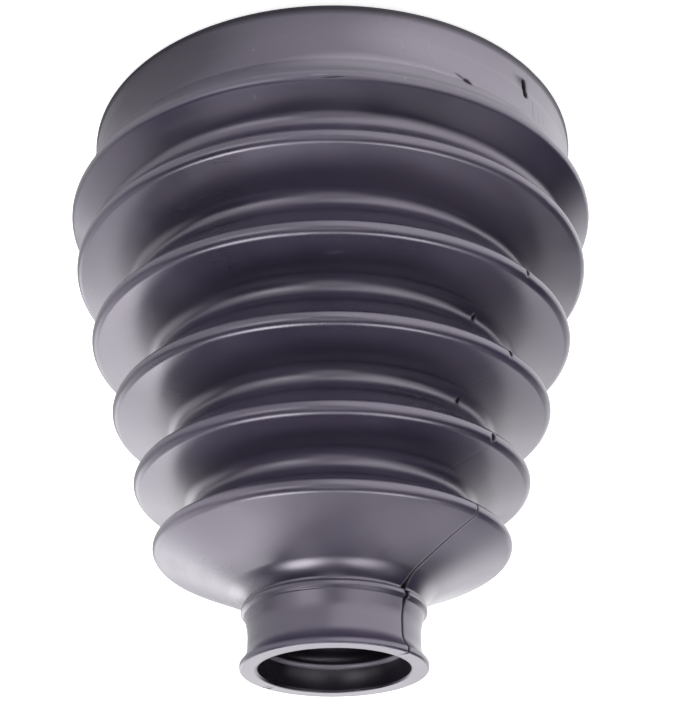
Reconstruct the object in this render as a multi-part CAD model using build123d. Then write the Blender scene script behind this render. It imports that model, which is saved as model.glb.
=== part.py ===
from build123d import *
import os

# A moulded rubber bellows boot, as fitted over a constant-velocity joint.
# It is one piece of rubber: a wide collar that grips the joint's housing, six folds that taper
# towards the shaft, and a narrow neck that grips the shaft. Every section is round, so the whole
# boot is one outline turned about the Z axis.
# Sizes are millimetres. The boot stands on its wide rim: the origin is the middle of that rim's
# plane, and +Z runs along the axis towards the neck. Corners are given sharp, before rounding.

# ---- What the boot seals against, and its walls ----
housing_radius = 42.0
shaft_radius = 11.9
collar_wall = 2.8
neck_wall = 2.2
fold_wall = 2.2

# ---- Sealing ribs inside both ends ----
rib_height = 0.5
rib_land = 0.8
rib_flank = 0.5
rib_spacing = 4.2
rib_round = 0.5
neck_rib_inset = 4.9

# ---- Collar: a rim, the seat of the large clamp band, and a shoulder ----
collar_height = 11.6
rim_height = 1.8
rim_overhang = 0.1
rim_round = 0.8
large_seat_width = 4.4
large_seat_depth = 0.12
large_seat_flank = 0.4
shoulder_round = 1.6

# ---- Folds: each crest's rise over the corner below, and how far it lies inside the last one ----
crest_rises = [5.9, 5.25, 10.6, 10.9, 9.7, 7.1]
crest_overhang = 3.4
crest_steps = [0.75, 3.65, 4.45, 4.2, 3.8]
root_rises = [5.5, 4.45, 2.7, 3.35, 3.55]
fold_depths = [6.8, 14.0, 15.95, 15.65, 16.45]
cone_rise = 7.45
crest_round = 1.45
root_round = 2.4
inner_crest_round = 0.7

# ---- Neck: a flared foot, a lip, the groove of the small clamp band, and a flare to the end ----
foot_height = 2.05
foot_flare = 1.3
foot_fillet = 6.2
lip_height = 0.8
lip_flank = 0.6
lip_width = 0.5
lip_round = 0.3
groove_step = 0.65
groove_step_height = 0.75
groove_step_round = 1.5
groove_depth = 1.2
groove_ease = 2.25
groove_ease_round = 8.0
groove_width = 4.1
end_flare_height = 1.4
end_flare_round = 3.5
end_lip_width = 0.9
end_round = 0.8
edge_round = 0.5


def inner_line(start, end):
    """The straight run from start to end of the outer skin, moved in through the wall."""
    inward = (end - start).normalized().rotate(Axis.Z, 90) * fold_wall
    return start + inward, end + inward


def crossing(first, second):
    """The point where two straight lines, each given by two points, cross."""
    along, other = first[1] - first[0], second[1] - second[0]
    reach = (second[0] - first[0]).cross(other).Z / along.cross(other).Z
    return first[0] + along * reach


def sealing_rib(land_radius, middle):
    """Corners of a rib that stands in from a bore, listed downwards."""
    bore_radius = land_radius + rib_height
    half_land = rib_land / 2
    half_foot = half_land + rib_flank
    return [
        (Vector(bore_radius, middle + half_foot), 0),
        (Vector(land_radius, middle + half_land), rib_round),
        (Vector(land_radius, middle - half_land), rib_round),
        (Vector(bore_radius, middle - half_foot), 0),
    ]


# ---- Outer corners of the folds, from the collar up to the neck ----
collar_bore_radius = housing_radius + rib_height
collar_radius = collar_bore_radius + collar_wall
neck_bore_radius = shaft_radius + rib_height
neck_radius = neck_bore_radius + neck_wall
fold_corners = [Vector(collar_radius, collar_height)]
height = collar_height
crest_radius = collar_radius + crest_overhang
for fold, crest_rise in enumerate(crest_rises):
    height += crest_rise
    fold_corners.append(Vector(crest_radius, height))
    if fold < len(root_rises):
        height += root_rises[fold]
        fold_corners.append(Vector(crest_radius - fold_depths[fold], height))
        crest_radius -= crest_steps[fold]
neck_base = height + cone_rise
fold_corners.append(Vector(neck_radius + foot_flare, neck_base))

# ---- The collar's outer outline, upwards: each corner with its rounding ----
rim_radius = collar_radius + rim_overhang
large_seat_radius = collar_radius - large_seat_depth
large_seat_top = rim_height + large_seat_width
outer = [
    (Vector(rim_radius, 0), rim_round),
    (Vector(rim_radius, rim_height - large_seat_flank), 0),
    (Vector(large_seat_radius, rim_height), 0),
    (Vector(large_seat_radius, large_seat_top), 0),
    (Vector(collar_radius, large_seat_top + large_seat_flank), 0),
    (fold_corners[0], shoulder_round),
]

# ---- The folds, and then the neck with its lip, groove and end lip ----
for place, corner in enumerate(fold_corners[1:-1]):
    outer.append((corner, root_round if place % 2 else crest_round))
lip_radius = neck_radius + lip_height
groove_radius = lip_radius - groove_depth
lip_bottom = neck_base + foot_height
lip_top = lip_bottom + lip_flank + lip_width
groove_bottom = lip_top + groove_step_height + groove_ease
groove_top = groove_bottom + groove_width
end_lip_bottom = groove_top + end_flare_height
overall_length = end_lip_bottom + end_lip_width
outer += [
    (fold_corners[-1], foot_fillet),
    (Vector(neck_radius, lip_bottom), 0),
    (Vector(lip_radius, lip_bottom + lip_flank), lip_round),
    (Vector(lip_radius, lip_top), lip_round),
    (Vector(lip_radius - groove_step, lip_top + groove_step_height), groove_step_round),
    (Vector(groove_radius, groove_bottom), groove_ease_round),
    (Vector(groove_radius, groove_top), end_flare_round),
    (Vector(lip_radius, end_lip_bottom), 0),
    (Vector(lip_radius, overall_length), end_round),
]

# ---- The inner outline, downwards: the folds keep an even wall ----
inner_lines = [inner_line(*run) for run in zip(fold_corners, fold_corners[1:])]
neck_bore = (Vector(neck_bore_radius, 0), Vector(neck_bore_radius, overall_length))
collar_bore = (Vector(collar_bore_radius, 0), Vector(collar_bore_radius, collar_height))
upper_rib = overall_length - neck_rib_inset
inner = [(Vector(neck_bore_radius, overall_length), edge_round)]
inner += sealing_rib(shaft_radius, upper_rib)
inner += sealing_rib(shaft_radius, upper_rib - rib_spacing)
inner.append((crossing(inner_lines[-1], neck_bore), foot_fillet / 2))
for place in range(len(inner_lines) - 1, 0, -1):
    corner = crossing(inner_lines[place - 1], inner_lines[place])
    inner.append((corner, inner_crest_round if place % 2 else root_round + fold_wall))
inner.append((crossing(inner_lines[0], collar_bore), shoulder_round))
large_seat_middle = (rim_height + large_seat_top) / 2
inner += sealing_rib(housing_radius, large_seat_middle + rib_spacing / 2)
inner += sealing_rib(housing_radius, large_seat_middle - rib_spacing / 2)
inner.append((Vector(collar_bore_radius, 0), edge_round))

corners, roundings = zip(*(outer + inner))
with BuildPart() as boot:
    with BuildSketch(Plane.XZ):
        with BuildLine():
            FilletPolyline(*corners, radius=roundings, close=True)
        make_face()
    revolve(axis=Axis.Z)

os.makedirs("parts", exist_ok=True)
export_step(boot.part, "parts/boot.step")
print("overall length", round(overall_length, 2), "large seat radius", round(large_seat_radius, 2))
print("small seat radius", round(groove_radius, 2), "from", round(groove_bottom, 2))
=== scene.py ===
import math

import bpy
import numpy as np
from mathutils import Matrix


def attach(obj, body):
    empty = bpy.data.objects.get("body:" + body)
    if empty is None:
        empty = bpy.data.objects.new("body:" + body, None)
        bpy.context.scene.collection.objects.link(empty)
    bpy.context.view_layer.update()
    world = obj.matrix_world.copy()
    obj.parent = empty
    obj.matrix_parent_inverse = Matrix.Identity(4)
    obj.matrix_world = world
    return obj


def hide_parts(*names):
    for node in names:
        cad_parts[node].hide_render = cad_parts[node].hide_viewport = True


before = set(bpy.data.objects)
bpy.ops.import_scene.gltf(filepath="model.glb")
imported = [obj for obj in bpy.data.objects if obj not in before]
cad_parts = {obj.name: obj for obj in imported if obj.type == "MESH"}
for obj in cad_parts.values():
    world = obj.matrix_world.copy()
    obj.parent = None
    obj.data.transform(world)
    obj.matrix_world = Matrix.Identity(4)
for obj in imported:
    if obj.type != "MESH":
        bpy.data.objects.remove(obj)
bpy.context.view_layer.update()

MM = 0.001

# ---- The boot's outline in millimetres ----
# These are the CAD solid's own sizes, but for finer steps and roundings at the neck's two lips.
HOUSING_RADIUS, SHAFT_RADIUS = 42.0, 11.9
COLLAR_WALL, NECK_WALL, FOLD_WALL = 2.8, 2.2, 2.2
RIB_HEIGHT, RIB_LAND, RIB_FLANK, RIB_SPACING, RIB_ROUND = 0.5, 0.8, 0.5, 4.2, 0.5
NECK_RIB_INSET = 4.9
COLLAR_HEIGHT = 11.6
RIM_HEIGHT, RIM_OVERHANG, RIM_ROUND = 1.8, 0.1, 0.8
LARGE_SEAT_WIDTH, LARGE_SEAT_DEPTH, LARGE_SEAT_FLANK = 4.4, 0.12, 0.4
SHOULDER_ROUND = 1.6
CREST_RISES = (5.9, 5.25, 10.6, 10.9, 9.7, 7.1)
CREST_OVERHANG = 3.4
CREST_STEPS = (0.75, 3.65, 4.45, 4.2, 3.8)
ROOT_RISES = (5.5, 4.45, 2.7, 3.35, 3.55)
FOLD_DEPTHS = (6.8, 14.0, 15.95, 15.65, 16.45)
CONE_RISE = 7.45
CREST_ROUND, ROOT_ROUND, INNER_CREST_ROUND = 1.45, 2.4, 0.7
FOOT_HEIGHT, FOOT_FLARE, FOOT_FILLET = 2.05, 1.3, 6.2
LIP_HEIGHT, LIP_FLANK, LIP_WIDTH, LIP_ROUND = 0.8, 0.3, 0.8, 0.3
GROOVE_STEP, GROOVE_STEP_HEIGHT, GROOVE_STEP_ROUND = 0.6, 0.35, 0.5
GROOVE_DEPTH, GROOVE_EASE, GROOVE_EASE_ROUND, GROOVE_WIDTH = 1.2, 2.65, 8.0, 4.1
END_FLARE_HEIGHT, END_FLARE_ROUND, END_LIP_WIDTH, END_ROUND = 1.4, 3.5, 0.9, 0.4
EDGE_ROUND = 0.5
COLLAR_BORE, NECK_BORE = HOUSING_RADIUS + RIB_HEIGHT, SHAFT_RADIUS + RIB_HEIGHT
COLLAR, NECK = COLLAR_BORE + COLLAR_WALL, NECK_BORE + NECK_WALL
LARGE_SEAT_TOP = RIM_HEIGHT + LARGE_SEAT_WIDTH

# ---- How finely the outline is turned into a mesh ----
# The turn from row to row in a rounding, outside and inside.
ARC_STEP, INNER_ARC_STEP = math.radians(9), math.radians(18)
# About how far apart the rows of a straight run are.
OUTER_ROW, INNER_ROW, COLLAR_ROW = 1.8, 4.5, 0.45
# A run is taken to be no shorter than this, so that none is divided by zero.
SHORTEST = 1e-9
# How many columns are even all round, and how far they stay from each parting line.
TURNS, SEAM_FREE = 188, math.radians(6)
# The closer columns: millimetres beside either parting line, and the slit's angles beside the first.
SEAM_COLUMNS = (-0.9, -0.55, -0.32, -0.16, 0.0, 0.16, 0.32, 0.55, 0.9)
SLIT_COLUMNS = np.radians((0.1, 0.4, 0.55, 0.7, 0.85, 1.0, 1.15, 1.3, 1.45, 1.6, 1.9))
# The step by which slopes are found.
SLOPE_STEP = 0.01

# ---- The mould's two parting lines: a fine groove beside a very low flash ----
# The groove's depth is given at a row of heights. It is deepest on the cone and the neck.
SEAM_ANGLE = math.radians(-139.9)
SEAM_HEIGHTS = (0.0, 11.0, 76.5, 79.5, 86.0, 90.0, 91.5, 100.0)
SEAM_DEPTHS = (0.02, 0.0, 0.01, 0.1, 0.13, 0.14, 0.15, 0.14)
SEAM_HALF_WIDTH = 0.22
FLASH_OFFSET, FLASH_HALF_WIDTH, FLASH_SHARE = 0.52, 0.22, 0.05
# Nicks where the flash was trimmed off: height, offset from the seam, half width, half height and depth.
NICKS = (
    (90.1, 0.1, 0.42, 0.8, 0.7),
    (91.6, -0.15, 0.3, 0.7, 0.3),
    (69.3, 0.0, 0.4, 0.55, 0.35),
    (55.5, 0.0, 0.4, 0.7, 0.3),
    (42.2, 0.1, 0.35, 0.6, 0.25),
    (60.6, 0.0, 0.45, 0.4, 0.2),
    (46.4, 0.0, 0.45, 0.4, 0.2),
)
# A groove or nick this deep gets the fullest painted shade.
RECESS_SHADE_DEPTH = 0.13
# A slit in the collar beside the seam.
SLIT_ANGLE = math.radians(-138.9)
SLIT_HEIGHT, SLIT_LEAN, SLIT_HALF_WIDTH, SLIT_HALF_LENGTH = 5.8, -0.1, 0.42, 2.1
SLIT_DEPTH, SLIT_END_POWER = 0.7, 4

# ---- How this moulding departs from a true turned form, with its front towards the camera ----
FRONT_ANGLE = math.radians(-90)
# A crest that leans: the heights of the root below, of the crest and of the root above, and how far its back
# is nearer to the neck.
LEANING_CRESTS = ((23.0, 28.3, 32.8, 1.5), (32.8, 43.4, 46.1, 0.3))
# Shifts along X of the rim and of the neck, and between which heights they fade out or come in.
RIM_SHIFT, RIM_SHIFT_END = -0.4, 12.0
NECK_SHIFT, NECK_SHIFT_START, NECK_SHIFT_END = -0.2, 81.0, 89.0
# The cone's side at one azimuth sinks by up to this much between the outer two heights.
CONE_SINK, CONE_SINK_ANGLE, CONE_SINK_HEIGHTS = 0.6, math.pi, (79.0, 85.0, 90.0)


def cross(first, second):
    """The cross product of two directions in the section's plane."""
    return first[0] * second[1] - first[1] * second[0]


def inner_line(start, end):
    """The straight run from start to end of the outer skin, moved in through the wall."""
    run = (end - start) / np.linalg.norm(end - start)
    inward = np.array([-run[1], run[0]]) * FOLD_WALL
    return start + inward, end + inward


def crossing(first, second):
    """The point where two straight lines, each given by two points, cross."""
    along, other = first[1] - first[0], second[1] - second[0]
    return first[0] + along * cross(second[0] - first[0], other) / cross(along, other)


def point(radius, height):
    """A point in the section's plane."""
    return np.array([radius, height], float)


def sealing_rib(land_radius, middle):
    """Corners of a rib that stands in from a bore, listed downwards, with their roundings."""
    bore = land_radius + RIB_HEIGHT
    half_land = RIB_LAND / 2
    half_foot = half_land + RIB_FLANK
    return [(point(bore, middle + half_foot), 0), (point(land_radius, middle + half_land), RIB_ROUND),
            (point(land_radius, middle - half_land), RIB_ROUND), (point(bore, middle - half_foot), 0)]


def fold_corners():
    """Sharp corners of the folds from the collar's shoulder to the foot of the neck."""
    folds = [point(COLLAR, COLLAR_HEIGHT)]
    height, crest = COLLAR_HEIGHT, COLLAR + CREST_OVERHANG
    for fold, rise in enumerate(CREST_RISES):
        height += rise
        folds.append(point(crest, height))
        if fold < len(ROOT_RISES):
            height += ROOT_RISES[fold]
            folds.append(point(crest - FOLD_DEPTHS[fold], height))
            crest -= CREST_STEPS[fold]
    folds.append(point(NECK + FOOT_FLARE, height + CONE_RISE))
    return folds


def collar_corners():
    """The outer corners of the rim and the clamp seat, with their roundings."""
    seat = COLLAR - LARGE_SEAT_DEPTH
    return [(point(COLLAR + RIM_OVERHANG, 0), RIM_ROUND),
            (point(COLLAR + RIM_OVERHANG, RIM_HEIGHT - LARGE_SEAT_FLANK), 0),
            (point(seat, RIM_HEIGHT), 0),
            (point(seat, LARGE_SEAT_TOP), 0),
            (point(COLLAR, LARGE_SEAT_TOP + LARGE_SEAT_FLANK), 0)]


def neck_corners(neck_base):
    """The outer corners of the neck's lip, groove and end lip, with their roundings."""
    lip = NECK + LIP_HEIGHT
    groove = lip - GROOVE_DEPTH
    lip_bottom = neck_base + FOOT_HEIGHT
    lip_top = lip_bottom + LIP_FLANK + LIP_WIDTH
    groove_bottom = lip_top + GROOVE_STEP_HEIGHT + GROOVE_EASE
    groove_top = groove_bottom + GROOVE_WIDTH
    end_lip = groove_top + END_FLARE_HEIGHT
    return [(point(NECK, lip_bottom), 0),
            (point(lip, lip_bottom + LIP_FLANK), LIP_ROUND),
            (point(lip, lip_top), LIP_ROUND),
            (point(lip - GROOVE_STEP, lip_top + GROOVE_STEP_HEIGHT), GROOVE_STEP_ROUND),
            (point(groove, groove_bottom), GROOVE_EASE_ROUND),
            (point(groove, groove_top), END_FLARE_ROUND),
            (point(lip, end_lip), 0),
            (point(lip, end_lip + END_LIP_WIDTH), END_ROUND)]


def inner_corners(folds, length):
    """The inner corners from the neck's end down to the rim: each flank of the folds moved in by the wall."""
    lines = [inner_line(*run) for run in zip(folds, folds[1:])]
    neck_line = (point(NECK_BORE, 0), point(NECK_BORE, length))
    collar_line = (point(COLLAR_BORE, 0), point(COLLAR_BORE, length))
    upper_rib = length - NECK_RIB_INSET
    inner = [(point(NECK_BORE, length), EDGE_ROUND)]
    inner += sealing_rib(SHAFT_RADIUS, upper_rib)
    inner += sealing_rib(SHAFT_RADIUS, upper_rib - RIB_SPACING)
    inner.append((crossing(lines[-1], neck_line), FOOT_FILLET / 2))
    for place in range(len(lines) - 1, 0, -1):
        rounding = INNER_CREST_ROUND if place % 2 else ROOT_ROUND + FOLD_WALL
        inner.append((crossing(lines[place - 1], lines[place]), rounding))
    inner.append((crossing(lines[0], collar_line), SHOULDER_ROUND))
    seat_middle = (RIM_HEIGHT + LARGE_SEAT_TOP) / 2
    inner += sealing_rib(HOUSING_RADIUS, seat_middle + RIB_SPACING / 2)
    inner += sealing_rib(HOUSING_RADIUS, seat_middle - RIB_SPACING / 2)
    inner.append((point(COLLAR_BORE, 0), EDGE_ROUND))
    return inner


def outline_corners():
    """Sharp corners of the section with their roundings: the outer ones upwards, the inner ones downwards."""
    folds = fold_corners()
    outer = collar_corners()
    outer.append((folds[0], SHOULDER_ROUND))
    for place, corner in enumerate(folds[1:-1]):
        outer.append((corner, ROOT_ROUND if place % 2 else CREST_ROUND))
    outer.append((folds[-1], FOOT_FILLET))
    outer += neck_corners(folds[-1][1])
    length = outer[-1][0][1]
    return outer, inner_corners(folds, length)


def rounded(before, corner, after, radius, step):
    """Points and outward normals along the arc that rounds a corner."""
    back, ahead = before - corner, after - corner
    back, ahead = back / np.linalg.norm(back), ahead / np.linalg.norm(ahead)
    inside = math.acos(np.clip(back @ ahead, -1, 1))
    turn = math.pi - inside
    side = np.sign(cross(-back, ahead))
    centre = corner + (back + ahead) / np.linalg.norm(back + ahead) * radius / math.sin(inside / 2)
    start = corner + back * radius / math.tan(inside / 2) - centre
    count = max(2, math.ceil(turn / step))
    points, normals = [], []
    for number in range(count + 1):
        angle = side * turn * number / count
        spoke = np.array([start[0] * math.cos(angle) - start[1] * math.sin(angle),
                          start[0] * math.sin(angle) + start[1] * math.cos(angle)])
        points.append(centre + spoke)
        normals.append(side * spoke / radius)
    return points, normals


def bisector(before, corner, after):
    """The outward normal at a sharp corner, midway between those of its two sides."""
    total = np.zeros(2)
    for run in (corner - before, after - corner):
        total += np.array([run[1], -run[0]]) / np.linalg.norm(run)
    return total / np.linalg.norm(total)


def fill_run(points, normals, end, spacing):
    """Rows along the straight run from the last point to the next arc."""
    start = points[-1]
    run = end - start
    length = np.linalg.norm(run)
    steps = max(1, round(length / spacing))
    flat = np.array([run[1], -run[0]]) / max(length, SHORTEST)
    for number in range(1, steps):
        points.append(start + run * number / steps)
        normals.append(flat)


def row_spacing(is_outer, top):
    """How far apart the rows of a straight run are: closest on the collar, widest inside."""
    if not is_outer:
        return INNER_ROW
    return COLLAR_ROW if top <= COLLAR_HEIGHT else OUTER_ROW


def section():
    """The closed section as rows of (radius, height) with their normals, and how many rows are outside."""
    outer, inner = outline_corners()
    corners = outer + inner
    count = len(corners)
    points, normals = [], []
    for place, (corner, radius) in enumerate(corners):
        before, after = corners[place - 1][0], corners[(place + 1) % count][0]
        is_outer = place < len(outer)
        if radius:
            step = ARC_STEP if is_outer else INNER_ARC_STEP
            arc, arc_normals = rounded(before, corner, after, radius, step)
        else:
            arc, arc_normals = [corner], [bisector(before, corner, after)]
        if points:
            top = max(points[-1][1], arc[0][1])
            fill_run(points, normals, arc[0], row_spacing(is_outer, top))
        points += arc
        normals += arc_normals
        if is_outer:
            outer_rows = len(points)
    return np.array(points), np.array(normals), outer_rows


def column_angles(radius):
    """Angles of the columns at one radius: even all round, but bunched at the parting lines and the slit."""
    offsets = np.arcsin(np.array(SEAM_COLUMNS) / radius)
    even = np.linspace(SEAM_FREE, math.pi - SEAM_FREE, TURNS // 2)
    half = np.concatenate([offsets, even])
    return np.sort(np.concatenate([half, half + math.pi, SLIT_COLUMNS])) + SEAM_ANGLE


def turned(angle):
    """An angle brought to within half a turn of zero."""
    return (angle + math.pi) % (2 * math.pi) - math.pi


def bump(value, centre, half_width):
    """A bell curve: 1 at its centre, and about a third at half_width from it."""
    return np.exp(-((value - centre) / half_width) ** 2)


def relief(places):
    """How far the outer skin stands above the true form, in millimetres, at places in millimetres."""
    radius = np.hypot(places[..., 0], places[..., 1])
    angle = np.arctan2(places[..., 1], places[..., 0])
    height = places[..., 2]
    depth = np.interp(height, SEAM_HEIGHTS, SEAM_DEPTHS)
    raised = np.zeros(height.shape)
    for line in (SEAM_ANGLE, SEAM_ANGLE + math.pi):
        offset = radius * turned(angle - line)
        raised -= depth * bump(offset, 0, SEAM_HALF_WIDTH)
        raised += depth * FLASH_SHARE * bump(offset, FLASH_OFFSET, FLASH_HALF_WIDTH)
    offset = radius * turned(angle - SEAM_ANGLE)
    for middle, beside, half_width, half_height, nick_depth in NICKS:
        raised -= nick_depth * bump(offset, beside, half_width) * bump(height, middle, half_height)
    across = radius * turned(angle - SLIT_ANGLE) - SLIT_LEAN * (height - SLIT_HEIGHT)
    along = np.clip(np.abs(height - SLIT_HEIGHT) / SLIT_HALF_LENGTH, 0, 1)
    raised -= SLIT_DEPTH * bump(across, 0, SLIT_HALF_WIDTH) * (1 - along ** SLIT_END_POWER)
    return raised


def smooth_step(value, start, end):
    """A smooth rise from 0 at start to 1 at end."""
    share = np.clip((value - start) / (end - start), 0, 1)
    return share * share * (3 - 2 * share)


def peak(value, start, top, end):
    """A smooth rise from 0 at start to 1 at top, and back to 0 at end."""
    return smooth_step(value, start, top) * (1 - smooth_step(value, top, end))


def as_moulded(places):
    """Places on the true form moved to where this boot has them, in millimetres."""
    moved = places.copy()
    angle = np.arctan2(places[..., 1], places[..., 0])
    height = places[..., 2]
    backness = (1 - np.cos(angle - FRONT_ANGLE)) / 2
    for root_below, crest, root_above, lean in LEANING_CRESTS:
        moved[..., 2] += lean * backness * peak(height, root_below, crest, root_above)
    sideness = np.clip(np.cos(angle - CONE_SINK_ANGLE), 0, 1) ** 2
    moved[..., 2] -= CONE_SINK * sideness * peak(height, *CONE_SINK_HEIGHTS)
    moved[..., 0] += RIM_SHIFT * (1 - smooth_step(height, 0, RIM_SHIFT_END))
    moved[..., 0] += NECK_SHIFT * smooth_step(height, NECK_SHIFT_START, NECK_SHIFT_END)
    return moved


def slopes(function, places):
    """How steeply a function of place changes along x, y and z."""
    changes = []
    for step in np.eye(3) * SLOPE_STEP:
        changes.append((function(places + step) - function(places - step)) / (2 * SLOPE_STEP))
    return np.stack(changes, -1)


def unit(vectors):
    """The vectors' directions, each of length 1."""
    return vectors / np.linalg.norm(vectors, axis=-1, keepdims=True)


def around(pairs, angles):
    """Pairs of a radial and an axial part, one a row, turned to the rows' column angles."""
    radial, axial = pairs[:, 0][:, None], pairs[:, 1][:, None]
    return np.stack([radial * np.cos(angles), radial * np.sin(angles), axial + np.zeros(angles.shape)], -1)


def skin_shape():
    """Places and normals of the boot's skin by row and column, and how far the relief raises each place."""
    points, normals, outer_rows = section()
    angles = np.array([column_angles(radius) for radius in points[:, 0]])
    places, facing = around(points, angles), around(normals, angles)
    outwards = around(np.tile((1.0, 0.0), (len(points), 1)), angles)
    outer = (np.arange(len(points)) < outer_rows)[:, None]
    raised = relief(places) * outer
    rise = slopes(relief, places) * outer[..., None]
    rise -= (rise * facing).sum(-1, keepdims=True) * facing
    facing = unit(facing - rise)
    places = places + raised[..., None] * outwards
    stretch = slopes(as_moulded, places)
    facing = unit(np.einsum("...ji,...j->...i", np.linalg.inv(stretch), facing))
    return as_moulded(places), facing, raised


def grid_faces(rows, columns):
    """Four-sided faces of a grid that closes on itself both ways."""
    row, column = np.meshgrid(np.arange(rows), np.arange(columns), indexing="ij")
    next_row, next_column = (row + 1) % rows, (column + 1) % columns
    corners = [row * columns + column, row * columns + next_column,
               next_row * columns + next_column, next_row * columns + column]
    return np.stack(corners, -1).reshape(-1, 4)


def boot_mesh():
    """The boot's skin as a mesh with its own normals, and an attribute of painted shade where it is cut or
    nicked.
    """
    places, facing, raised = skin_shape()
    mesh = bpy.data.meshes.new("boot_skin")
    mesh.from_pydata((places.reshape(-1, 3) * MM).tolist(), [], grid_faces(*raised.shape).tolist())
    mesh.polygons.foreach_set("use_smooth", [True] * len(mesh.polygons))
    mesh.normals_split_custom_set_from_vertices(facing.reshape(-1, 3).tolist())
    # Painted shade: grooves, nicks and the slit are darkened by their depth.
    painted_recess_shade = mesh.attributes.new("painted_recess_shade", "FLOAT", "POINT")
    painted_recess_shade.data.foreach_set("value", np.clip(-raised / RECESS_SHADE_DEPTH, 0, 1).ravel())
    mesh.update()
    return mesh


skin = bpy.data.objects.new("bellows_boot", boot_mesh())
bpy.context.scene.collection.objects.link(skin)


# ---- Shader helpers ----


def node(tree, kind, inputs=(), **settings):
    """A new node with its settings and inputs; an input is a value or another node's output."""
    made = tree.nodes.new("ShaderNode" + kind)
    for name, value in settings.items():
        setattr(made, name, value)
    for name, value in dict(inputs).items():
        if isinstance(value, bpy.types.NodeSocket):
            tree.links.new(value, made.inputs[name])
        else:
            made.inputs[name].default_value = value
    return made


def maths(tree, operation, first, second):
    """The result of one operation on two values."""
    return node(tree, "Math", {0: first, 1: second}, operation=operation).outputs[0]


def span(tree, value, start, end, low=0.0, high=1.0):
    """A value's smooth course from low at start to high at end."""
    inputs = {"Value": value, "From Min": start, "From Max": end, "To Min": low, "To Max": high}
    return node(tree, "MapRange", inputs, interpolation_type="SMOOTHSTEP").outputs["Result"]


def noise(tree, place, scale, detail):
    """A cloudy value from about 0 to 1 at each place."""
    return node(tree, "TexNoise", {"Vector": place, "Scale": scale, "Detail": detail}).outputs["Fac"]


def blend(tree, share, first, second):
    """The first colour, mixed with a share of the second."""
    mixed = node(tree, "Mix", {"Factor": share}, data_type="RGBA")
    for name, colour in (("A", first), ("B", second)):
        socket = next(one for one in mixed.inputs if one.name == name and one.type == "RGBA")
        if isinstance(colour, bpy.types.NodeSocket):
            tree.links.new(colour, socket)
        else:
            socket.default_value = colour
    return next(one for one in mixed.outputs if one.type == "RGBA")


# ---- Rubber ----
RUBBER_DARK, RUBBER_LIGHT = (0.029, 0.023, 0.046, 1), (0.043, 0.034, 0.065, 1)
# Grime and painted shade share the dark colour; dust and painted highlights share the pale one.
DARK_GRIME_AND_SHADE, PALE_DUST_AND_HIGHLIGHT = (0.006, 0.005, 0.008, 1), (0.215, 0.195, 0.245, 1)
# The gloss: its tint and index of refraction, its level where clean and where dull, and its roughness.
GLOSS_TINT, GLOSS_IOR = (0.95, 0.89, 1.0, 1), 2.05
GLOSS_LEVEL, DULL_LEVEL = 0.5, 0.06
SMOOTHEST, ROUGHEST = 0.27, 0.37
# Texture sizes are given as repeats in a metre, each with its detail.
MOTTLE_SCALE, MOTTLE_DETAIL = 48, 3.0
PATCH_SCALE, PATCH_DETAIL = 28.8, 1.0
GRAIN_SCALE, GRAIN_DETAIL = 2600, 1.0
STREAK_ROUND_SCALE, STREAK_RISE_SCALE, STREAK_DETAIL = 14, 1500, 2.0
SPECK_SCALE = 240
NOISE_MIDDLE = 0.5
# Between which texture values the colour, the gloss, the streaked patches and the specks change, and how pale
# the specks are.
COLOUR_EDGE, GLOSS_EDGE, PATCH_EDGE = (0.35, 0.65), (0.3, 0.7), (0.45, 0.65)
SPECK_EDGE, SPECK_CHANCE_EDGE, SPECK_PALENESS = (0.07, 0.03), (0.86, 0.9), 0.4
# How much the streaks and the marks roughen the gloss, and what the grain and the streaks add to the bump and
# the marks take from it. The bump's own height is in metres, as are the places that follow.
STREAK_ROUGHNESS, MARK_ROUGHNESS = 0.15, 0.35
GRAIN_RISE, STREAK_RISE, MARK_SINK = 0.22, 0.35, 3.0
BUMP_HEIGHT = 0.00003
# Painted shade: the neck's bore is darker than the outside, up to this far from the axis. That fades out
# where it is pale, up to BORE_PALE_END. Its rib has a painted highlight from RIB_START to MOUTH_EDGE, and
# from there to the end it is dull.
BORE_EDGE, BORE_DARKNESS, BORE_PALE_END = (0.0126, 0.0131), 0.85, 0.3
RIB_START, MOUTH_EDGE, MOUTH_DULLNESS = (0.0958, 0.0961), (0.0964, 0.0967), 0.6
# Painted shade at the foot of the rim the boot stands on, where the floor's contact shadow falls: up to which
# height, and how strong it is.
RIM_SHADE_EDGE, RIM_SHADE = (0.001, 0.0025), 0.7
# A mark fades from its full strength to nothing between these shares of its half sizes.
MARK_FULL, MARK_END = 0.5, 1.25
# Marks on the skin: azimuth from +X in degrees, radius and height in mm, half depth, half width and half
# height in mm, lean in degrees, and strength.
DARK_MARKS_AND_SHADE = (
    # The dash at the shoulder and its tail.
    (-121.0, 45.5, 11.8, 1.8, 0.85, 1.1, 68, 1.0),
    (-119.5, 45.4, 11.1, 1.8, 0.35, 1.4, 68, 0.6),
    # The collar's dull left side.
    # Painted shade: the collar's left side, darker where it mirrors the dimmer floor.
    (-50.0, 45.3, 5.5, 12.0, 18.0, 9.0, 0, 0.4),
    # A dark patch at the end of the parting line at the lip.
    (-139.4, 15.1, 90.2, 1.2, 0.5, 0.8, 0, 0.8),
    # Three scores beside the slit.
    (-142.0, 45.3, 9.3, 1.5, 0.16, 2.2, 4, 0.35),
    (-144.4, 45.3, 9.6, 1.5, 0.14, 1.8, 6, 0.3),
    (-146.5, 45.3, 9.0, 1.5, 0.14, 1.6, 3, 0.25),
    # A scuff on the first crest, and small blemishes.
    (-91.2, 48.4, 17.9, 1.2, 2.2, 0.14, 3, 0.6),
    (37.0, 14.4, 100.6, 1.3, 0.35, 0.6, 0, 0.4),
    (-139.0, 15.3, 92.5, 1.0, 0.3, 1.3, 10, 0.7),
    (-128.0, 40.9, 60.3, 1.5, 0.9, 0.22, 12, 0.5),
)
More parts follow.
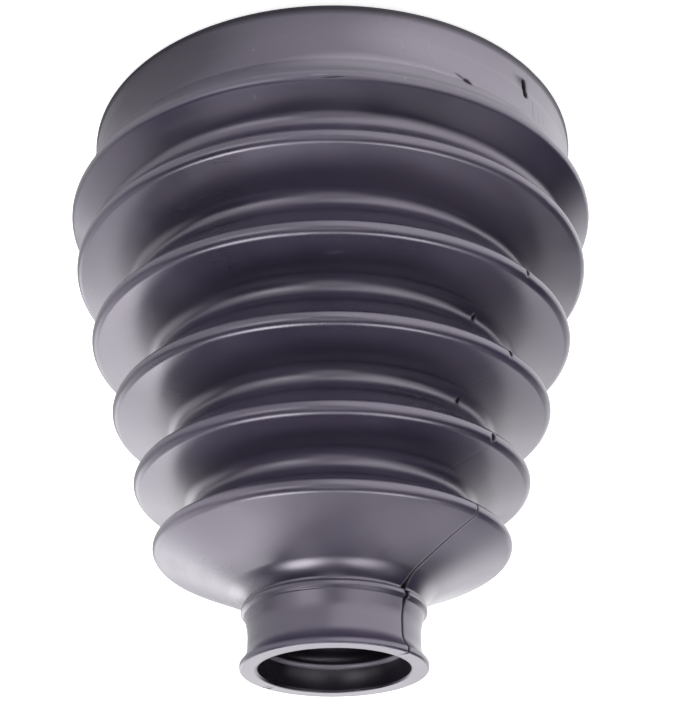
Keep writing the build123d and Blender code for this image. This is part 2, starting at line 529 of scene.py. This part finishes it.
PALE_MARKS_AND_HIGHLIGHTS = (
    # Painted highlights: the right side of the collar and of the shoulder, and both sides of the cone, made
    # lighter where they mirror bright floor and lights.
    (-132.0, 45.3, 6.0, 14.0, 33.0, 8.0, 0, 0.95),
    (-115.0, 46.0, 12.8, 14.0, 34.0, 2.8, 0, 0.95),
    (-42.0, 26.0, 84.0, 9.0, 15.0, 8.0, 0, 0.55),
    (-127.0, 25.0, 85.0, 9.0, 12.0, 6.0, 0, 0.35),
    # Scuffs on the folds.
    (-90.5, 38.4, 44.5, 1.2, 2.6, 0.14, 2, 0.35),
    (-93.2, 38.0, 45.0, 1.2, 1.6, 0.12, -6, 0.25),
    (-88.4, 48.5, 17.5, 1.2, 1.6, 0.16, 2, 0.35),
    # Specks on the first folds.
    (-89.6, 47.3, 28.7, 1.0, 0.3, 0.3, 0, 0.3),
    (-75.4, 46.7, 19.3, 1.2, 0.32, 0.36, 0, 0.22),
    (-74.0, 45.4, 30.2, 1.5, 0.3, 0.36, 0, 0.22),
    (-81.9, 45.4, 30.1, 1.5, 0.32, 0.36, 0, 0.22),
)


def marks(tree, place, spots):
    """The strongest of a set of small oval marks at each place."""
    strongest = 0.0
    for azimuth, radius, height, deep, wide, tall, lean, strength in spots:
        turn = math.radians(azimuth)
        centre = (radius * math.cos(turn) * MM, radius * math.sin(turn) * MM, height * MM)
        local = node(tree, "Mapping", {"Vector": place, "Location": centre,
                                       "Rotation": (math.radians(lean), 0, turn),
                                       "Scale": (deep * MM, wide * MM, tall * MM)}, vector_type="TEXTURE")
        away = node(tree, "VectorMath", {0: local.outputs[0]}, operation="LENGTH").outputs["Value"]
        strongest = maths(tree, "MAXIMUM", strongest, span(tree, away, MARK_END, MARK_FULL, 0, strength))
    return strongest


def textures(tree, place):
    """The mottle, the grain, the streaks in their patches, and the dust specks, at each place."""
    scales = (STREAK_ROUND_SCALE, STREAK_ROUND_SCALE, STREAK_RISE_SCALE)
    ringed = node(tree, "Mapping", {"Vector": place, "Scale": scales}).outputs[0]
    mottle = noise(tree, place, MOTTLE_SCALE, MOTTLE_DETAIL)
    grain = noise(tree, place, GRAIN_SCALE, GRAIN_DETAIL)
    streaks = noise(tree, ringed, 1.0, STREAK_DETAIL)
    patchy = span(tree, noise(tree, place, PATCH_SCALE, PATCH_DETAIL), *PATCH_EDGE)
    streaks = maths(tree, "MULTIPLY", maths(tree, "SUBTRACT", streaks, NOISE_MIDDLE), patchy)
    cells = node(tree, "TexVoronoi", {"Vector": place, "Scale": SPECK_SCALE})
    chance = node(tree, "SeparateXYZ", {0: cells.outputs["Color"]}).outputs["X"]
    specks = span(tree, cells.outputs["Distance"], *SPECK_EDGE)
    specks = maths(tree, "MULTIPLY", specks, span(tree, chance, *SPECK_CHANCE_EDGE))
    return mottle, grain, streaks, specks


def neck_bore(tree, place, height):
    """Where the inside of the neck is, and in it the mouth above the rib and the rib itself."""
    flattened = node(tree, "VectorMath", {0: place, 1: (1, 1, 0)}, operation="MULTIPLY").outputs[0]
    from_axis = node(tree, "VectorMath", {0: flattened}, operation="LENGTH").outputs["Value"]
    bore = span(tree, from_axis, *BORE_EDGE, 1, 0)
    mouth = maths(tree, "MULTIPLY", bore, span(tree, height, *MOUTH_EDGE))
    # The rib's band, which gets a painted highlight.
    rib = maths(tree, "MULTIPLY", span(tree, height, *RIB_START), span(tree, height, *MOUTH_EDGE, 1, 0))
    return bore, mouth, maths(tree, "MULTIPLY", bore, rib)


def grime_dust_and_painted_light(tree, place, height, specks, rib):
    """How dark with grime and painted shade, and how pale with dust and painted highlights, the skin is at
    each place.
    """
    # Painted shade in the grooves, nicks and slit, read from the mesh's attribute.
    painted_recess_shade = node(tree, "Attribute", attribute_name="painted_recess_shade").outputs["Fac"]
    dark = maths(tree, "MAXIMUM", painted_recess_shade, marks(tree, place, DARK_MARKS_AND_SHADE))
    # Painted shade darkens the foot of the rim.
    dark = maths(tree, "MAXIMUM", dark, span(tree, height, *RIM_SHADE_EDGE, RIM_SHADE, 0))
    pale = maths(tree, "MULTIPLY", specks, SPECK_PALENESS)
    pale = maths(tree, "MAXIMUM", pale, marks(tree, place, PALE_MARKS_AND_HIGHLIGHTS))
    # The rib gets its painted highlight here.
    return dark, maths(tree, "MAXIMUM", pale, rib)


def rubber_colour(tree, mottle, dark, pale, bore):
    """Mottled rubber under pale dust and painted highlights, and dark grime and painted shade over both and
    in the neck's bore.
    """
    # Painted shade in the neck's bore, less where it is pale.
    painted_bore_shade = maths(tree, "MULTIPLY", bore, BORE_DARKNESS)
    painted_bore_shade = maths(tree, "MULTIPLY", painted_bore_shade, span(tree, pale, 0, BORE_PALE_END, 1, 0))
    colour = blend(tree, span(tree, mottle, *COLOUR_EDGE), RUBBER_DARK, RUBBER_LIGHT)
    colour = blend(tree, pale, colour, PALE_DUST_AND_HIGHLIGHT)
    return blend(tree, maths(tree, "MAXIMUM", dark, painted_bore_shade), colour, DARK_GRIME_AND_SHADE)


def rubber_roughness(tree, mottle, streaks, dark):
    """Mottled gloss, changed a little by the streaks and roughened by the dark marks."""
    rough = span(tree, mottle, *GLOSS_EDGE, SMOOTHEST, ROUGHEST)
    rough = maths(tree, "ADD", rough, maths(tree, "MULTIPLY", streaks, STREAK_ROUGHNESS))
    return maths(tree, "ADD", rough, maths(tree, "MULTIPLY", dark, MARK_ROUGHNESS))


def rubber_bump(tree, grain, streaks, dark):
    """The skin's normal, with the grain and the streaks raised and the dark marks sunk."""
    rise = maths(tree, "MULTIPLY", grain, GRAIN_RISE)
    rise = maths(tree, "ADD", rise, maths(tree, "MULTIPLY", streaks, STREAK_RISE))
    rise = maths(tree, "SUBTRACT", rise, maths(tree, "MULTIPLY", dark, MARK_SINK))
    return node(tree, "Bump", {"Strength": 1.0, "Distance": BUMP_HEIGHT, "Height": rise}).outputs[0]


def rubber():
    """The boot's material: lilac black rubber, glossy except under its dark marks and painted shade and in
    the neck's mouth.
    """
    material = bpy.data.materials.new("black_rubber")
    material.use_nodes = True
    tree = material.node_tree
    shader = tree.nodes["Principled BSDF"]
    place = tree.nodes.new("ShaderNodeTexCoord").outputs["Object"]
    height = node(tree, "SeparateXYZ", {0: place}).outputs["Z"]
    mottle, grain, streaks, specks = textures(tree, place)
    bore, mouth, rib = neck_bore(tree, place, height)
    dark, pale = grime_dust_and_painted_light(tree, place, height, specks, rib)
    tree.links.new(rubber_colour(tree, mottle, dark, pale, bore), shader.inputs["Base Color"])
    tree.links.new(rubber_roughness(tree, mottle, streaks, dark), shader.inputs["Roughness"])
    tree.links.new(rubber_bump(tree, grain, streaks, dark), shader.inputs["Normal"])
    dull = maths(tree, "MAXIMUM", dark, maths(tree, "MULTIPLY", mouth, MOUTH_DULLNESS))
    tree.links.new(span(tree, dull, 0, 1, GLOSS_LEVEL, DULL_LEVEL), shader.inputs["Specular IOR Level"])
    shader.inputs["IOR"].default_value = GLOSS_IOR
    shader.inputs["Specular Tint"].default_value = GLOSS_TINT
    return material


skin.data.materials.append(rubber())
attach(skin, "root")
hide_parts("boot")

# ---- Floor: lit for real, and lifted to white for the camera and in the boot's reflections on the right ----
FLOOR_SIZE = 6.0
FLOOR_COLOUR = (0.8, 0.8, 0.8, 1)
FLOOR_LIFT = 0.75
# How bright the floor is in the boot's reflections on the picture's left and right, and between which places
# along X, in metres, that changes.
MIRRORED_LEFT, MIRRORED_RIGHT = 0.0, 1.0
LEFT_EDGE, RIGHT_EDGE = 0.042, -0.02


def floor_paint():
    """The floor's pale paint, with the light it gives to the camera and to reflections."""
    paint = bpy.data.materials.new("pale_floor")
    paint.use_nodes = True
    tree = paint.node_tree
    tree.nodes.clear()
    place = tree.nodes.new("ShaderNodeNewGeometry").outputs["Position"]
    sideways = node(tree, "SeparateXYZ", {0: place}).outputs["X"]
    mirrored = span(tree, sideways, RIGHT_EDGE, LEFT_EDGE, MIRRORED_RIGHT, MIRRORED_LEFT)
    path = tree.nodes.new("ShaderNodeLightPath")
    in_gloss = maths(tree, "MULTIPLY", path.outputs["Is Glossy Ray"], mirrored)
    lift = maths(tree, "MULTIPLY", path.outputs["Is Camera Ray"], FLOOR_LIFT)
    glow = node(tree, "Emission", {"Strength": maths(tree, "ADD", lift, in_gloss)})
    diffuse = node(tree, "BsdfDiffuse", {"Color": FLOOR_COLOUR})
    both = node(tree, "AddShader", {0: diffuse.outputs[0], 1: glow.outputs[0]})
    node(tree, "OutputMaterial", {"Surface": both.outputs[0]})
    return paint


def flat_floor():
    """A wide floor that the boot stands on."""
    mesh = bpy.data.meshes.new("floor")
    corners = [(-FLOOR_SIZE, -FLOOR_SIZE, 0), (FLOOR_SIZE, -FLOOR_SIZE, 0),
               (FLOOR_SIZE, FLOOR_SIZE, 0), (-FLOOR_SIZE, FLOOR_SIZE, 0)]
    mesh.from_pydata(corners, [], [(0, 1, 2, 3)])
    mesh.materials.append(floor_paint())
    floor = bpy.data.objects.new("floor", mesh)
    bpy.context.scene.collection.objects.link(floor)


flat_floor()


# ---- Studio: soft round lights in the world around the boot, white to the camera itself ----
# Each light: azimuth from the camera's side and elevation, the half angles of its even core and of its faded
# edge, all in degrees, and its radiance.
STUDIO_LIGHTS = {
    "overhead_left": (-90, 72, 5, 16, 7.7),
    "overhead_right": (90, 72, 5, 16, 4.7),
    "overhead_right_edge": (90, 52, 5, 16, 0.65),
    "overhead": (0, 90, 2, 28, 0.4),
    "back_high_left": (-165, 47, 5, 16, 6.0),
    "back_high": (180, 47, 5, 16, 1.2),
    "back_high_right": (165, 47, 5, 16, 2.2),
    "back": (180, 24, 2, 26, 2.3),
    "back_left": (-144, 24, 2, 26, 1.3),
    "left": (-108, 24, 2, 26, 0.9),
    "low_back_left": (-150, 5, 2, 24, 2.6),
    "low_left": (-120, 5, 2, 24, 0.55),
    "low_back_right": (150, 5, 2, 24, 2.3),
    "low_front_far_left": (-60, 5, 2, 24, 1.1),
    "low_front_left": (-30, 5, 2, 24, 2.7),
    "low_front_right": (30, 5, 2, 24, 1.7),
    "low_front_far_right": (60, 5, 2, 24, 1.2),
    "front": (0, 27, 2, 24, 0.9),
    "front_right": (36, 27, 2, 22, 0.6),
    "front_high": (0, 44, 2, 17, 0.6),
}
# What the camera itself sees behind the boot, where 1 is white.
BACKDROP = 1.0


def soft_light(tree, ray, azimuth, elevation, core, edge, radiance):
    """Radiance that fades smoothly from a light's core to its edge, by the direction looked in."""
    turn, lift = math.radians(azimuth), math.radians(elevation)
    towards = (-math.sin(turn) * math.cos(lift), -math.cos(turn) * math.cos(lift), math.sin(lift))
    near = node(tree, "VectorMath", {0: ray, 1: towards}, operation="DOT_PRODUCT").outputs["Value"]
    return span(tree, near, math.cos(math.radians(edge)), math.cos(math.radians(core)), 0, radiance)


def studio():
    """The world: the sum of the lights, and an even backdrop to the camera itself."""
    world = bpy.data.worlds.new("studio")
    world.use_nodes = True
    tree = world.node_tree
    ray = tree.nodes.new("ShaderNodeTexCoord").outputs["Generated"]
    total = 0.0
    for light in STUDIO_LIGHTS.values():
        total = maths(tree, "ADD", total, soft_light(tree, ray, *light))
    seen = tree.nodes.new("ShaderNodeLightPath").outputs["Is Camera Ray"]
    strength = node(tree, "Mix", {"Factor": seen, "A": total, "B": BACKDROP}).outputs["Result"]
    background = tree.nodes["Background"]
    background.inputs["Color"].default_value = (1, 1, 1, 1)
    tree.links.new(strength, background.inputs["Strength"])
    return world


bpy.context.scene.world = studio()

# ---- Camera: above the neck's side, with its up towards the wide rim, as the boot is pictured ----
FOCAL_PIXELS, IMAGE_SIDE, SENSOR = 1453.94, 708, 36.0
CLIP_START = 0.01
TILT, ROLL = math.radians(28.594), math.radians(0.606)
# The middle of the rim as the camera sees it, right, down and ahead. It is given in units of which CREST_SEEN
# are as long as CREST_RADIUS in millimetres, the radius of the widest crest.
RIM_SEEN, CREST_SEEN, CREST_RADIUS = (-11.154, -130.556, 1000.0), 170.218, 48.2


def pictured_camera():
    """A camera whose own axes are found from how the boot's axis lies in its picture."""
    axis = np.array([math.sin(ROLL) * math.cos(TILT), math.cos(ROLL) * math.cos(TILT), -math.sin(TILT)])
    across = np.array([math.cos(ROLL), -math.sin(ROLL), 0.0])
    to_boot = np.stack([-across, -np.cross(axis, across), axis])
    matrix = np.eye(4)
    matrix[:3, :3] = to_boot @ np.diag([1.0, -1.0, -1.0])
    matrix[:3, 3] = to_boot @ -(np.array(RIM_SEEN) * CREST_RADIUS / CREST_SEEN * MM)
    camera = bpy.data.objects.new("camera", bpy.data.cameras.new("camera"))
    camera.matrix_world = Matrix(matrix.tolist())
    camera.data.sensor_width = SENSOR
    camera.data.lens = FOCAL_PIXELS / IMAGE_SIDE * SENSOR
    camera.data.clip_start = CLIP_START
    return camera


camera = pictured_camera()
bpy.context.scene.collection.objects.link(camera)
bpy.context.scene.camera = camera
bpy.context.scene.view_settings.view_transform = "Standard"
